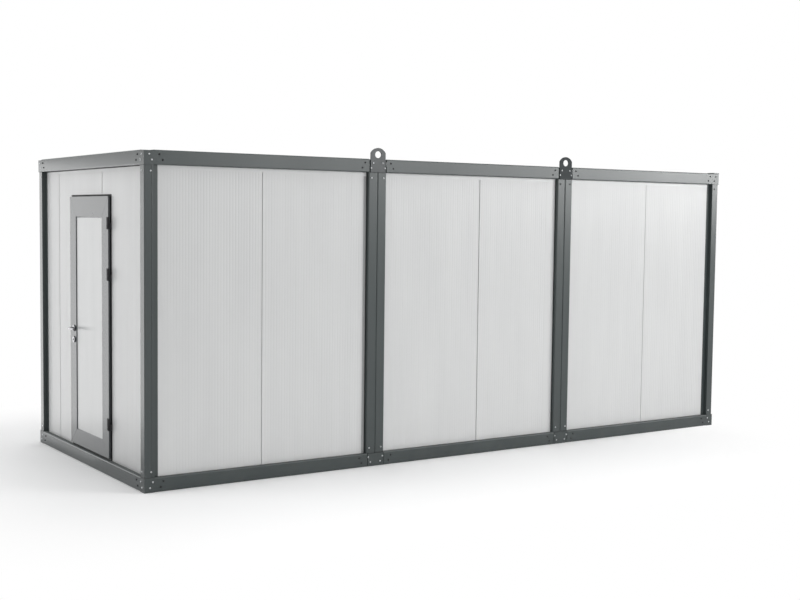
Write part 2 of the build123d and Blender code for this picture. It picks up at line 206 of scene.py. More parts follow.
def box_corner(axis, along, across):
    """A box corner's three signs, from its sign along one axis and the two across it."""
    signs = list(across)
    signs.insert(axis, along)
    return tuple(signs)


def bevelled_box(heap, low, high, bevel, place=lambda *p: p):
    """A box with its edges cut at 45 degrees, so that each corner has a point on each of its three faces."""
    ids = {}
    points = []
    for axis in AXES:
        for corner in BOX_CORNERS:
            point = []
            for k in AXES:
                inset = 0 if k == axis else bevel
                point.append(high[k] - inset if corner[k] else low[k] + inset)
            ids[axis, corner] = len(points)
            points.append(place(*point))
    faces = []
    for axis in AXES:
        one, two = [k for k in AXES if k != axis]
        for sign in (0, 1):
            ring = [box_corner(axis, sign, across) for across in ((0, 0), (1, 0), (1, 1), (0, 1))]
            faces.append(tuple(ids[axis, corner] for corner in ring))
        for across in ((0, 0), (0, 1), (1, 0), (1, 1)):
            start, end = (box_corner(axis, along, across) for along in (0, 1))
            faces.append((ids[one, start], ids[one, end], ids[two, end], ids[two, start]))
    for corner in BOX_CORNERS:
        faces.append(tuple(ids[axis, corner] for axis in AXES))
    heap.add(points, faces)


# Materials, in metres; each NOISE is the stretch of a noise over which something sets in

NOISE_RANGE = (0.3, 0.7)
SOFT_NOISE = (0.35, 0.65)
LEVEL_RANGE = (0.6, 0.95)
MOTTLING_STRETCH = (1, 1, 0.5)
DUST = (0.16, 0.155, 0.145)
DUST_HEIGHT = 0.30
DUST_NOISE, DUST_SHARES = (0.40, 0.75), (0.0, 0.06)
POWDER_NOISE, POWDER_SHARES = (0.35, 0.75), (0.02, 0.22)
POWDER_ROUGHNESS = 0.45
GRIME = (0.42, 0.40, 0.37)
GRIME_HEIGHTS = (0.10, 0.45)
GRIME_NOISE, GRIME_SHARES = (0.42, 0.80), (0.0, 0.06)
WEAR_LENGTH = (-1.2, 1.2)
WEAR_SPREAD = (-0.03, 0.03)
GRAIN_TO_SPANGLE = 0.7
RUBBER_ROUGHNESS = (0.55, 0.75)
SPECK_NOISE, SPECK_SHARES = (0.60, 0.66), (0.0, 0.55)
FLOORING_ROUGHNESS = (0.38, 0.55)

# Sockets of a Mix node that mixes colours
MIX_FACTOR, MIX_UNDER, MIX_OVER, MIX_COLOR = 0, 6, 7, 2


def new_node(tree, kind, **numbers):
    """A new shader node with these numbers on its inputs."""
    node = tree.nodes.new("ShaderNode" + kind)
    for name, number in numbers.items():
        node.inputs[name.replace("_", " ")].default_value = number
    return node


def calculate(tree, operation, one, two):
    """A number worked out from two others."""
    node = new_node(tree, "Math")
    node.operation = operation
    tree.links.new(one, node.inputs[0])
    tree.links.new(two, node.inputs[1])
    return node.outputs["Value"]


class Paint:
    """A principled material whose inputs come from procedural textures in the part's own frame."""

    def __init__(self, name):
        self.material = bpy.data.materials.new(name)
        self.material.use_nodes = True
        self.tree = self.material.node_tree
        self.tree.nodes.clear()
        out = new_node(self.tree, "OutputMaterial")
        self.shader = new_node(self.tree, "BsdfPrincipled")
        self.link(self.shader.outputs["BSDF"], out.inputs["Surface"])
        self.place = new_node(self.tree, "TexCoord").outputs["Object"]

    def link(self, source, target):
        self.tree.links.new(source, target)

    def set(self, **values):
        for name, value in values.items():
            self.shader.inputs[name.replace("_", " ")].default_value = value

    def noise(self, scale, detail, stretch=(1, 1, 1), distortion=0.0):
        """Cloudy noise, which stays mostly within NOISE_RANGE."""
        mapping = new_node(self.tree, "Mapping", Scale=stretch)
        self.link(self.place, mapping.inputs["Vector"])
        texture = new_node(self.tree, "TexNoise", Scale=scale, Detail=detail, Distortion=distortion)
        self.link(mapping.outputs["Vector"], texture.inputs["Vector"])
        return texture.outputs["Fac"]

    def cells(self, scale):
        """Small patches, each with a shade of its own."""
        texture = new_node(self.tree, "TexVoronoi", Scale=scale)
        self.link(self.place, texture.inputs["Vector"])
        return texture.outputs["Color"]

    def span(self, value, source, target):
        """A number carried from a source range to a target range."""
        node = new_node(
            self.tree, "MapRange", From_Min=source[0], From_Max=source[1], To_Min=target[0], To_Max=target[1]
        )
        self.link(value, node.inputs["Value"])
        return node.outputs["Result"]

    def along(self, axis, source, target):
        """A number that goes from one end of the target range to the other along one axis of the part."""
        split = new_node(self.tree, "SeparateXYZ")
        self.link(self.place, split.inputs["Vector"])
        return self.span(split.outputs[axis], source, target)

    def upward(self):
        """1 on faces that look up, where dust settles, and 0 on upright ones."""
        split = new_node(self.tree, "SeparateXYZ")
        self.link(new_node(self.tree, "NewGeometry").outputs["Normal"], split.inputs["Vector"])
        return self.span(split.outputs["Z"], LEVEL_RANGE, (0.0, 1.0))

    def plus(self, one, two):
        return calculate(self.tree, "ADD", one, two)

    def times(self, one, two):
        return calculate(self.tree, "MULTIPLY", one, two)

    def ramp(self, value, ends, dark, light):
        """A colour that goes from dark to light between the ends of a range."""
        node = new_node(self.tree, "ValToRGB")
        for element, place, color in zip(node.color_ramp.elements, ends, (dark, light)):
            element.position = place
            element.color = (*color, 1.0)
        self.link(value, node.inputs["Fac"])
        return node.outputs["Color"]

    def over(self, factor, under, color):
        """A colour laid over another by a factor."""
        node = new_node(self.tree, "Mix")
        node.data_type = "RGBA"
        self.link(factor, node.inputs[MIX_FACTOR])
        self.link(under, node.inputs[MIX_UNDER])
        node.inputs[MIX_OVER].default_value = (*color, 1.0)
        return node.outputs[MIX_COLOR]

    def color(self, value):
        self.link(value, self.shader.inputs["Base Color"])

    def rough(self, value):
        self.link(value, self.shader.inputs["Roughness"])

    def bump(self, value, distance, strength):
        node = new_node(self.tree, "Bump", Strength=strength, Distance=distance)
        self.link(value, node.inputs["Height"])
        self.link(node.outputs["Normal"], self.shader.inputs["Normal"])

    def orange_peel(self):
        self.bump(self.noise(scale=260.0, detail=2.0), distance=0.00004, strength=0.12)


def satin(name, dark, light, rough):
    """Satin paint on steel: faint mottling, orange peel, and dust low down and on top."""
    paint = Paint(name)
    mottling = paint.noise(scale=1.6, detail=5.0, stretch=MOTTLING_STRETCH)
    base = paint.ramp(mottling, SOFT_NOISE, dark, light)
    low = paint.along("Z", (0.0, DUST_HEIGHT), (1.0, 0.0))
    splashes = paint.noise(scale=9.0, detail=6.0)
    dusty = paint.times(low, paint.span(splashes, DUST_NOISE, DUST_SHARES))
    settled = paint.upward()
    patches = paint.noise(scale=14.0, detail=6.0)
    powder = paint.times(settled, paint.span(patches, POWDER_NOISE, POWDER_SHARES))
    paint.color(paint.over(powder, paint.over(dusty, base, DUST), DUST))
    sheen = paint.span(paint.noise(scale=5.0, detail=3.0), NOISE_RANGE, rough)
    paint.rough(paint.plus(sheen, paint.span(settled, (0.0, 1.0), (0.0, POWDER_ROUGHNESS))))
    paint.orange_peel()
    return paint.material


def coated(name, dark, light, rough, streak=0.12, specular=0.5):
    """Coated sheet: upright streaks, longer the smaller streak is, and a little grime low down."""
    paint = Paint(name)
    paint.set(Specular_IOR_Level=specular)
    streaks = paint.noise(scale=7.0, detail=5.0, stretch=(1, 1, streak))
    base = paint.ramp(streaks, NOISE_RANGE, dark, light)
    low = paint.along("Z", GRIME_HEIGHTS, (1.0, 0.0))
    splashes = paint.noise(scale=16.0, detail=6.0)
    grime = paint.times(low, paint.span(splashes, GRIME_NOISE, GRIME_SHARES))
    paint.color(paint.over(grime, base, GRIME))
    paint.rough(paint.span(paint.noise(scale=8.0, detail=3.0), NOISE_RANGE, rough))
    paint.bump(paint.noise(scale=200.0, detail=2.0), distance=0.00004, strength=0.15)
    return paint.material


def worn_satin(name, dark, light, rough, weathered):
    """Satin paint that has gone dull towards the far end of the cabin."""
    paint = Paint(name)
    paint.color(paint.ramp(paint.noise(scale=6.0, detail=5.0), SOFT_NOISE, dark, light))
    dull = paint.along("X", WEAR_LENGTH, (rough, weathered))
    uneven = paint.span(paint.noise(scale=18.0, detail=4.0), NOISE_RANGE, WEAR_SPREAD)
    paint.rough(paint.plus(dull, uneven))
    paint.orange_peel()
    return paint.material


def metal(name, dark, light, rough, spangle):
    """Plated metal: small patches of brightness and a fine grain."""
    paint = Paint(name)
    paint.set(Metallic=1.0)
    paint.color(paint.ramp(paint.cells(spangle), (0.0, 1.0), dark, light))
    grain = paint.noise(scale=spangle * GRAIN_TO_SPANGLE, detail=3.0)
    paint.rough(paint.span(grain, NOISE_RANGE, rough))
    paint.bump(paint.noise(scale=900.0, detail=2.0), distance=0.00005, strength=0.2)
    return paint.material


def rubber(name, dark, light):
    """Rubber, or matt black paint: a dull surface with a fine grain."""
    paint = Paint(name)
    paint.color(paint.ramp(paint.noise(scale=60.0, detail=5.0), NOISE_RANGE, dark, light))
    paint.set(Specular_IOR_Level=0.25)
    paint.rough(paint.span(paint.noise(scale=35.0, detail=3.0), NOISE_RANGE, RUBBER_ROUGHNESS))
    paint.bump(paint.noise(scale=700.0, detail=2.0), distance=0.0001, strength=0.3)
    return paint.material


def flooring(name, dark, light, fleck):
    """Speckled sheet flooring with faint marbling."""
    paint = Paint(name)
    marbling = paint.noise(scale=5.0, detail=6.0, distortion=1.5)
    specks = paint.span(paint.noise(scale=320.0, detail=2.0), SPECK_NOISE, SPECK_SHARES)
    paint.color(paint.over(specks, paint.ramp(marbling, NOISE_RANGE, dark, light), fleck))
    paint.rough(paint.span(paint.noise(scale=30.0, detail=4.0), NOISE_RANGE, FLOORING_ROUGHNESS))
    paint.bump(paint.noise(scale=260.0, detail=2.0), distance=0.0002, strength=0.3)
    return paint.material


frame_paint = satin("frame_paint", (0.037, 0.046, 0.046), (0.043, 0.053, 0.053), (0.245, 0.265))
lug_paint = worn_satin("lug_paint", (0.028, 0.033, 0.035), (0.036, 0.042, 0.044), 0.26, 0.85)
wall_panel = coated("wall_panel", (0.554, 0.558, 0.558), (0.578, 0.582, 0.580), (0.286, 0.298), specular=0.35)
edge_trim = coated("edge_trim", (0.545, 0.550, 0.552), (0.585, 0.590, 0.592), (0.28, 0.31))
trim_grey = coated("trim_grey", (0.290, 0.295, 0.297), (0.330, 0.335, 0.337), (0.34, 0.44))
roof_sheet = coated(
    "roof_sheet", (0.445, 0.456, 0.464), (0.490, 0.500, 0.508), (0.55, 0.65), streak=1.0, specular=0.25
)
floor_covering = flooring("floor_covering", (0.20, 0.20, 0.195), (0.27, 0.27, 0.26), (0.48, 0.48, 0.46))
door_surround = rubber("door_surround", (0.010, 0.010, 0.011), (0.017, 0.017, 0.018))
# The sill is darker than bare aluminium: painted shade for the deep gap under the door leaf.
sill_metal = metal("sill_metal", (0.075, 0.075, 0.077), (0.105, 0.105, 0.107), (0.38, 0.50), spangle=180.0)
door_paint = satin("door_paint", (0.038, 0.044, 0.047), (0.044, 0.051, 0.054), (0.255, 0.275))
door_panel = coated("door_panel", (0.530, 0.536, 0.536), (0.560, 0.566, 0.566), (0.235, 0.250), specular=0.3)
hinge_paint = rubber("hinge_paint", (0.016, 0.016, 0.018), (0.026, 0.026, 0.028))
# The chrome is darker than polished chrome: a painted reflection of dark surroundings.
handle_chrome = metal("handle_chrome", (0.18, 0.18, 0.19), (0.26, 0.26, 0.27), (0.06, 0.11), spangle=60.0)
bolt_zinc = metal("bolt_zinc", (0.38, 0.39, 0.40), (0.50, 0.51, 0.52), (0.24, 0.36), spangle=420.0)
# Matt dark bolts: a painted reflection of dark surroundings in the upper bolts towards the far end.
bolt_painted_reflection = rubber("bolt_painted_reflection", (0.022, 0.023, 0.024), (0.034, 0.035, 0.036))
bolt_black = rubber("bolt_black", (0.008, 0.008, 0.009), (0.014, 0.014, 0.015))
seal_rubber = rubber("seal_rubber", (0.014, 0.014, 0.015), (0.024, 0.024, 0.025))

SLOT_MATERIALS = {
    "frame_paint": frame_paint,
    "wall_panel": wall_panel,
    "edge_trim": edge_trim,
    "roof_sheet": roof_sheet,
    "floor_covering": floor_covering,
    "door_surround": door_surround,
    "sill_metal": sill_metal,
    "door_paint": door_paint,
    "door_panel": door_panel,
    "hinge_paint": hinge_paint,
    "handle_chrome": handle_chrome,
    "seal_rubber": seal_rubber,
}
for row in frame["record"]["subparts"]:
    node = frame["nodes"][row["node"]]
    node.data.materials.clear()
    node.data.materials.append(SLOT_MATERIALS[row["material_slot"]])


# Ribbed sandwich panels

RIB_PITCH = 24
RIB_DEPTH = 0.75
RIB_DEPTHS = (1.0, 0.55, 0.85, 0.6, 0.95, 0.5, 0.7)
RIB_SLOPE = 2.5
RIB_FLOOR = 5
RIB_MARGIN = 14
PLAIN_STRIPS = (0, 90, 0)
FRONT_GROOVES = (5, 7.5, 5)
END_GROOVE = 9
SEAM_CHAMFER = 1
SEAM_DEPTH = 14


def ribs(start, end, plain=0):
    """Places and depths across one panel's face, with the last stretch left plain."""
    finish = end - plain
    count = int((finish - start - 2 * RIB_MARGIN) // RIB_PITCH) + 1
    first = (start + finish - (count - 1) * RIB_PITCH) / 2
    row = []
    for k in range(count):
        middle = first + k * RIB_PITCH
        depth = RIB_DEPTH * RIB_DEPTHS[k % len(RIB_DEPTHS)]
        row += [
            (middle - RIB_FLOOR / 2 - RIB_SLOPE, 0),
            (middle - RIB_FLOOR / 2, depth),
            (middle + RIB_FLOOR / 2, depth),
            (middle + RIB_FLOOR / 2 + RIB_SLOPE, 0),
        ]
    return row


def wall_profile(start, end, seams, groove, plain=0):
    """Places and depths across a wall of panels, with a grooved seam between each two."""
    row = [(start, 0)]
    left = start
    for seam in seams:
        row += ribs(left, seam)
        low = seam + SEAM / 2 - groove / 2
        high = low + groove
        row += [(low - SEAM_CHAMFER, 0), (low, SEAM_CHAMFER), (low, SEAM_DEPTH)]
        row += [(high, SEAM_DEPTH), (high, SEAM_CHAMFER), (high + SEAM_CHAMFER, 0)]
        left = seam + SEAM
    row += ribs(left, end, plain)
    row.append((end, 0))
    return row


def split_profile(row, places):
    """The same profile with a point added at each of these places."""
    row = list(row)
    for place in places:
        for k in range(len(row) - 1):
            (u0, d0), (u1, d1) = row[k], row[k + 1]
            if u0 < place < u1:
                row.insert(k + 1, (place, d0 + (d1 - d0) * (place - u0) / (u1 - u0)))
                break
    return row


def wall(name, side, row, opening, stands_for):
    """A wall of panels on one side, with an opening (left, right, top) or none."""
    place = SIDES[side]
    levels = [WALL_BASE, opening[2], PANEL_TOP] if opening else [WALL_BASE, PANEL_TOP]
    rows = len(levels) - 1

    def filled(column, level):
        if not (0 <= column < len(row) - 1 and 0 <= level < rows):
            return False
        if opening and level == 0:
            middle = (row[column][0] + row[column + 1][0]) / 2
            return not opening[0] < middle < opening[1]
        return True

    ids = {}
    points = []
    for column, (u, drop) in enumerate(row):
        for level, z in enumerate(levels):
            if not any(filled(column - a, level - b) for a in (0, 1) for b in (0, 1)):
                continue
            for face, depth in enumerate((PANEL_FACE + drop, PANEL_BACK - drop)):
                ids[column, level, face] = len(points)
                points.append(place(u, depth, z))
    faces = []
    for column in range(len(row) - 1):
        after = column + 1
        wide = row[after][0] > row[column][0]
        for level in range(rows):
            if not filled(column, level):
                continue
            above = level + 1
            for face in (0, 1):
                corners = ((column, level), (after, level), (after, above), (column, above))
                faces.append(tuple(ids[(*corner, face)] for corner in corners))
            for beside, at in ((-1, column), (1, after)):
                if not filled(column + beside, level):
                    corners = ((at, level, 0), (at, above, 0), (at, above, 1), (at, level, 1))
                    faces.append(tuple(ids[corner] for corner in corners))
            for beside, at in ((-1, level), (1, above)):
                if wide and not filled(column, level + beside):
                    corners = ((column, at, 0), (after, at, 0), (after, at, 1), (column, at, 1))
                    faces.append(tuple(ids[corner] for corner in corners))
    heap = Heap()
    heap.add(points, faces)
    piece(name, heap, wall_panel, "cabin", stands_for=stands_for)


def add_long_walls():
    """Two panels in each bay of the front and the back; the sheet trims stand beside the joint posts only."""
    for side in LONG_SIDES:
        for bay, (start, end) in enumerate(frame_spans(side)):
            left = start + POST + (TRIM if bay else 0)
            right = end - POST - (TRIM if bay < MODULE_COUNT - 1 else 0)
            seams = [start + FRONT_SEAMS[bay]]
            row = wall_profile(left, right, seams, FRONT_GROOVES[bay], PLAIN_STRIPS[bay])
            wall(f"{side}_panels_{bay + 1}", side, row, None, [f"{side}_wall_bay_{bay + 1}"])


def add_end_walls():
    """Three panels at each end, with the doorway cut out of one."""
    row = wall_profile(PANEL_FACE, CABIN_WIDTH - PANEL_FACE, END_SEAMS, END_GROOVE)
    wall(
        "door_end_panels", "door_end", split_profile(row, (OPENING_LEFT, OPENING_RIGHT)),
        (OPENING_LEFT, OPENING_RIGHT, OPENING_TOP),
        ["door_end_wall_left", "door_end_wall_over", "door_end_wall_right"],
    )
    wall("far_end_panels", "far_end", row, None, ["far_end_wall"])


add_long_walls()
add_end_walls()


# Bolts: places along from a frame's end and up from the block's foot, or for POST_BOLT away from the block

HEAD_RADIUS = 7.2
HEAD_SIDES = 18
HEAD_PROFILE = ((1.0, 0), (1.0, 1.2), (0.92, 2.8), (0.74, 4.1), (0.50, 4.8), (0.44, 4.8), (0.42, 2.0))
TOP_BLOCK_BOLTS = ((42, 76), (62, 35.5))
TOP_RAIL_BOLTS = ((120, 76), (146, 35.5))
BOTTOM_BLOCK_BOLTS = ((66, 76.5), (44, 35.5))
BOTTOM_RAIL_BOLTS = ((150, 76.5), (128, 35.5))
POST_BOLT = (54, 44)
# Upper bolts from these places on are painted matt dark: a painted reflection of dark surroundings.
PAINTED_REFLECTION_POSTS_FROM = 3500
PAINTED_REFLECTION_BLOCKS_FROM = 5000


def bolt(heap, side, u, d, z):
    """The button head of a bolt with its socket, standing out of one side."""
    place = SIDES[side]
    foot = Vector(place(u, d, z))
    out = Vector(place(u, d - 1, z)) - foot
    lathe(heap, foot, out, [(share * HEAD_RADIUS, height) for share, height in HEAD_PROFILE], HEAD_SIDES)


def add_bolts():
    """Bolts of the blocks, posts and rails; the upper ones towards the far end are painted matt dark, a
    painted reflection of dark surroundings.
    """
    # The dull heap holds the bolts painted dark, a painted reflection of dark surroundings.
    bright, dull, black = Heap(), Heap(), Heap()
    for side in SIDES:
        spans = frame_spans(side)
        outer_ends = (spans[0][0], spans[-1][1])
        for left, right in spans:
            for end, inward in ((left, 1), (right, -1)):
                plate = 0 if end in outer_ends else JOINT_PLATE_FACE
                for heap, base, places, depth in (
                    (dull if end > PAINTED_REFLECTION_BLOCKS_FROM else bright, WALL_TOP, TOP_BLOCK_BOLTS, plate),
                    (black, WALL_TOP, TOP_RAIL_BOLTS, 0),
                    (bright, 0, BOTTOM_BLOCK_BOLTS, plate),
                    (black, 0, BOTTOM_RAIL_BOLTS, 0),
                ):
                    for along, level in places:
                        bolt(heap, side, end + inward * along, depth, base + level)
                along, level = POST_BOLT
                upper = dull if end > PAINTED_REFLECTION_POSTS_FROM else bright
                for heap, z in ((upper, WALL_TOP - level), (bright, WALL_BASE + level)):
                    bolt(heap, side, end + inward * along, POST_FACE, z)
    piece("painted_reflection_bolts", dull, bolt_painted_reflection, "cabin", smooth=SHARP_FROM)
    piece("frame_bolts", bright, bolt_zinc, "cabin", smooth=SHARP_FROM)
    piece("rail_bolts", black, bolt_black, "cabin", smooth=SHARP_FROM)


add_bolts()


# Fillers, painted shadow lines, strips and folds

FILLER_PLAY = 0.4
FILLER_BEVEL = 0.6
COUPLING_FILLER_FACE, COUPLING_FILLER_BACK = 2.5, 8
COUPLING_EDGE = 4
POST_FILLER_HALF = 2.8
POST_FILLER_FACE, POST_FILLER_BACK = 10, 20
# Dark lines where a post meets its blocks: painted shadow of the step between them.
SHADOW_LINE_HEIGHT = 2.2
SHADOW_LINE_PROUD = 0.5
SHADOW_LINE_BEVEL = 0.2
# Dark bands beside the posts and under the end top rails: painted shade of the recesses and overhangs.
SHADOW_BAND_WIDTH = 6
SHADOW_BAND_PROUD = 2
SHADOW_BAND_BEVEL = 0.4
SHADOW_BAND_PLAY = 0.5
STRIP_WIDTH = 27
STRIP_PROUD = 0.8
STRIP_BEVEL = 0.3
STRIP_FOOT, STRIP_HEAD = 2, 30
FOLD_U = 62
FOLD_RADIUS = 3.5
FOLD_SUNK = 0.5
FOLD_SIDES = 16
FOLD_SHARP_FROM = 50


def add_joint_fillers():
    """Fillers beside the coupling plates and in the gaps between the joint posts."""
    fillers = Heap()
    halves = (JOINT_PLATE_HALF + FILLER_PLAY, JOINT_OPENING_HALF - FILLER_PLAY)
    for side in LONG_SIDES:
        for joint in JOINTS:
            for sign in (-1, 1):
                left, right = sorted(joint + sign * half for half in halves)
                bevelled_box(
                    fillers, (left, COUPLING_FILLER_FACE, COUPLING_EDGE),
                    (right, COUPLING_FILLER_BACK, RAIL - COUPLING_EDGE), FILLER_BEVEL, SIDES[side],
                )
            bevelled_box(
                fillers, (joint - POST_FILLER_HALF, POST_FILLER_FACE, WALL_BASE),
                (joint + POST_FILLER_HALF, POST_FILLER_BACK, WALL_TOP), FILLER_BEVEL, SIDES[side],
            )
    piece("joint_fillers", fillers, frame_paint, "cabin")


def shadow_band(heap, side, left, right, bottom):
    """A flat dark band on the trims of one side, from a level up to the top rail: painted shade."""
    bevelled_box(
        heap, (left, TRIM_FACE - SHADOW_BAND_PROUD, bottom), (right, TRIM_FACE, WALL_TOP - SHADOW_BAND_PLAY),
        SHADOW_BAND_BEVEL, SIDES[side],
    )


def add_shadow_lines():
    """Painted shadow: dark lines where a post meets its blocks, and dark bands beside the posts and under the
    end top rails, standing in for the shade at these steps, recesses and overhangs.
    """
    lines = Heap()
    for side in SIDES:
        for left, right in frame_spans(side):
            for low_u in (left, right - POST):
                for low_z in (WALL_BASE, WALL_TOP - SHADOW_LINE_HEIGHT):
                    bevelled_box(
                        lines, (low_u + POST_FACE, POST_FACE - SHADOW_LINE_PROUD, low_z),
                        (low_u + POST - POST_FACE, POST_FACE, low_z + SHADOW_LINE_HEIGHT), SHADOW_LINE_BEVEL, SIDES[side],
                    )
        if side in LONG_SIDES:
            for left, right in frame_spans(side):
                for low_u in (left + POST, right - POST - SHADOW_BAND_WIDTH):
                    shadow_band(lines, side, low_u, low_u + SHADOW_BAND_WIDTH, WALL_BASE + SHADOW_BAND_PLAY)
    for side in END_SIDES:
        shadow_band(lines, side, POST, CABIN_WIDTH - POST, WALL_TOP - SHADOW_BAND_WIDTH)
    piece("painted_shadow_lines", lines, seal_rubber, "cabin")


def add_edge_strips():
    """A grey strip down the last edge of the first bay's panels."""
    strips = Heap()
    right = MODULE_LENGTH - POST - TRIM
    for side in LONG_SIDES:
        bevelled_box(
            strips, (right - STRIP_WIDTH, TRIM_FACE - STRIP_PROUD, WALL_BASE + STRIP_FOOT),
            (right, TRIM_FACE, PANEL_TOP - STRIP_HEAD), STRIP_BEVEL, SIDES[side],
        )
    piece("edge_strips", strips, trim_grey, "cabin")


def add_post_folds():
    """The bead of a fold up each corner post at the door end."""
    folds = Heap()
    height = WALL_TOP - WALL_BASE - 2 * SHADOW_LINE_HEIGHT
    for side in LONG_SIDES:
        foot = SIDES[side](FOLD_U, POST_FACE + FOLD_SUNK, WALL_BASE + SHADOW_LINE_HEIGHT)
        lathe(folds, foot, UP, ((FOLD_RADIUS, 0), (FOLD_RADIUS, height)), FOLD_SIDES)
    piece("post_folds", folds, frame_paint, "cabin", smooth=FOLD_SHARP_FROM)


add_joint_fillers()
add_shadow_lines()
add_edge_strips()
add_post_folds()


# Lug plates with eased edges, and holes that are countersunk on both faces

LUG_TOP, LUG_SHOULDER = reach("lifting_lugs", "Z")[1], 2549
LUG_HOLE_Z, LUG_HOLE_RADIUS = 2536, 28
LUG_FACE, LUG_BACK = JOINT_PLATE_FACE, 8
LUG_EDGE, LUG_COUNTERSINK = 1.2, 3.2
LUG_STEPS = 96
LUG_SHARP_FROM = 25
LUG_RIM = LUG_HOLE_RADIUS + LUG_COUNTERSINK
TINY = 1e-6


def lug_outline():
    """Directions (u, z) from the hole's middle and the plate's reach in each, with its corners among them."""
    rise = LUG_TOP - LUG_SHOULDER
    radius = (JOINT_PLATE_HALF ** 2 + rise ** 2) / (2 * rise)
    above = LUG_HOLE_Z - (LUG_TOP - radius)
    shoulder = math.atan2(LUG_SHOULDER - LUG_HOLE_Z, JOINT_PLATE_HALF)
    angles = [2 * math.pi * k / LUG_STEPS for k in range(LUG_STEPS)]
    for u, z in ((1, LUG_SHOULDER), (-1, LUG_SHOULDER), (-1, WALL_TOP), (1, WALL_TOP)):
        angles.append(math.atan2(z - LUG_HOLE_Z, u * JOINT_PLATE_HALF) % (2 * math.pi))
    outline = []
    for angle in sorted(angles):
        across, up = math.cos(angle), math.sin(angle)
        if shoulder <= angle <= math.pi - shoulder:
            drop = up * above
            extent = math.sqrt(drop ** 2 - above ** 2 + radius ** 2) - drop
        else:
            extent = JOINT_PLATE_HALF / max(abs(across), TINY)
            if up < 0:
                extent = min(extent, (WALL_TOP - LUG_HOLE_Z) / up)
        outline.append((across, up, extent))
    return outline


def add_lug_plates():
    """Plates over the joints: each is a skin of rings, round its hole (share 0) or its outline (share 1)."""
    lugs = Heap()
    outline = lug_outline()
    for side in LONG_SIDES:
        for joint in JOINTS:
            rings = []
            for share, offset, depth in (
                (0, LUG_HOLE_RADIUS, LUG_FACE + LUG_COUNTERSINK), (0, LUG_RIM, LUG_FACE),
                (1, -LUG_EDGE, LUG_FACE), (1, 0, LUG_FACE + LUG_EDGE),
                (1, 0, LUG_BACK - LUG_EDGE), (1, -LUG_EDGE, LUG_BACK),
                (0, LUG_RIM, LUG_BACK), (0, LUG_HOLE_RADIUS, LUG_BACK - LUG_COUNTERSINK),
            ):
                ring = []
                for across, up, extent in outline:
                    out = share * extent + offset
                    ring.append(SIDES[side](joint + across * out, depth, LUG_HOLE_Z + up * out))
                rings.append(ring)
            skin(lugs, rings, capped=False)
    piece(
        "lug_plates", lugs, lug_paint, "cabin", smooth=LUG_SHARP_FROM,
        stands_for=["lifting_lugs"],
    )


add_lug_plates()


# Caps on the far end's top corners, and roof screws

CAP = 78
CAP_BASE = reach("top_corner_blocks", "Z")[1]
CAP_HEIGHT = 13
CAP_OVER = 5
CAP_BEVEL = 2
ROOF_RIBS = 6
ROOF_RIB_TOP = reach("roof_panel_1", "Z")[1]
ROOF_LENGTH = reach("roof_panel_1", "X")[1] - reach("roof_panel_1", "X")[0]
SCREW_ROWS = (-1060, -360, 360, 1060)
WASHER_PROFILE = ((9, 0), (9, 1.6), (8, 2.2))
WASHER_SIDES = 16
SCREW_PROFILE = ((4.6, 2.2), (4.6, 6.4), (3.6, 7.0))
SCREW_SIDES = 6


def add_corner_caps():
    caps = Heap()
    for low_y in (-HALF_WIDTH, HALF_WIDTH - CAP):
        low = (HALF_LENGTH - CAP, low_y, CAP_BASE)
        high = (HALF_LENGTH + CAP_OVER, low_y + CAP, CAP_BASE + CAP_HEIGHT)
        bevelled_box(caps, low, high, CAP_BEVEL)
    piece("corner_caps", caps, frame_paint, "cabin")


def add_roof_screws():
    """Screws with washers along every roof rib; each head is turned by an angle of its own."""
    screws = Heap()
    for bay in range(MODULE_COUNT):
        middle = bay * MODULE_PITCH + MODULE_LENGTH / 2 - HALF_LENGTH
        for rib in range(ROOF_RIBS):
            x = middle + (rib - (ROOF_RIBS - 1) / 2) * ROOF_LENGTH / ROOF_RIBS
            for y in SCREW_ROWS:
                lathe(screws, (x, y, ROOF_RIB_TOP), UP, WASHER_PROFILE, WASHER_SIDES)
                lathe(screws, (x, y, ROOF_RIB_TOP), UP, SCREW_PROFILE, SCREW_SIDES, turn=x)
    piece("roof_screws", screws, bolt_zinc, "cabin", smooth=SHARP_FROM)


add_corner_caps()
add_roof_screws()


# Door leaf with mitred corners, and the outer sheet of its infill

MITRE_PLAY = 0.2
MITRE_GROOVE = 1.1
LEAF_EDGE = 1.2
SHEET_PLAY = 0.3
SHEET_BACK_PLAY = 0.1
SHEET_BEVEL = 0.4


def mitre(corner, toward, width):
    """The mitre line from an outer corner: gives the place at a distance t across a member of this width."""
    return lambda t: [start + t * run / width for start, run in zip(corner, toward)]


def leaf_member(heap, width, rebate, start, end, away):
    """One mitred member between two mitre lines; away is the direction from its start to its end."""
    section = [(0, LEAF_FACE + LEAF_EDGE), (LEAF_EDGE, LEAF_FACE)]
    section += [(width - BEVEL, LEAF_FACE), (width, LEAF_FACE + BEVEL)]
    section += [(width, INFILL_FACE), (width - BEAD, INFILL_FACE), (width - BEAD, LEAF_BACK)]
    if rebate:
        section += [(rebate, LEAF_BACK), (rebate, LEAF_LAP_BACK), (0, LEAF_LAP_BACK)]
    else:
        section += [(0, LEAF_BACK)]
    rings = []
    for line, pull, cut in (
        (start, MITRE_PLAY, MITRE_GROOVE), (start, MITRE_PLAY + MITRE_GROOVE, 0),
        (end, -MITRE_PLAY - MITRE_GROOVE, 0), (end, -MITRE_PLAY, MITRE_GROOVE),
    ):
        ring = []
        for t, d in section:
            u, z = line(t)
            depth = min(max(d, LEAF_FACE + cut), LEAF_BACK - cut)
            ring.append(door_place(u + away[0] * pull, depth, z + away[1] * pull))
        rings.append(ring)
    skin(heap, rings)


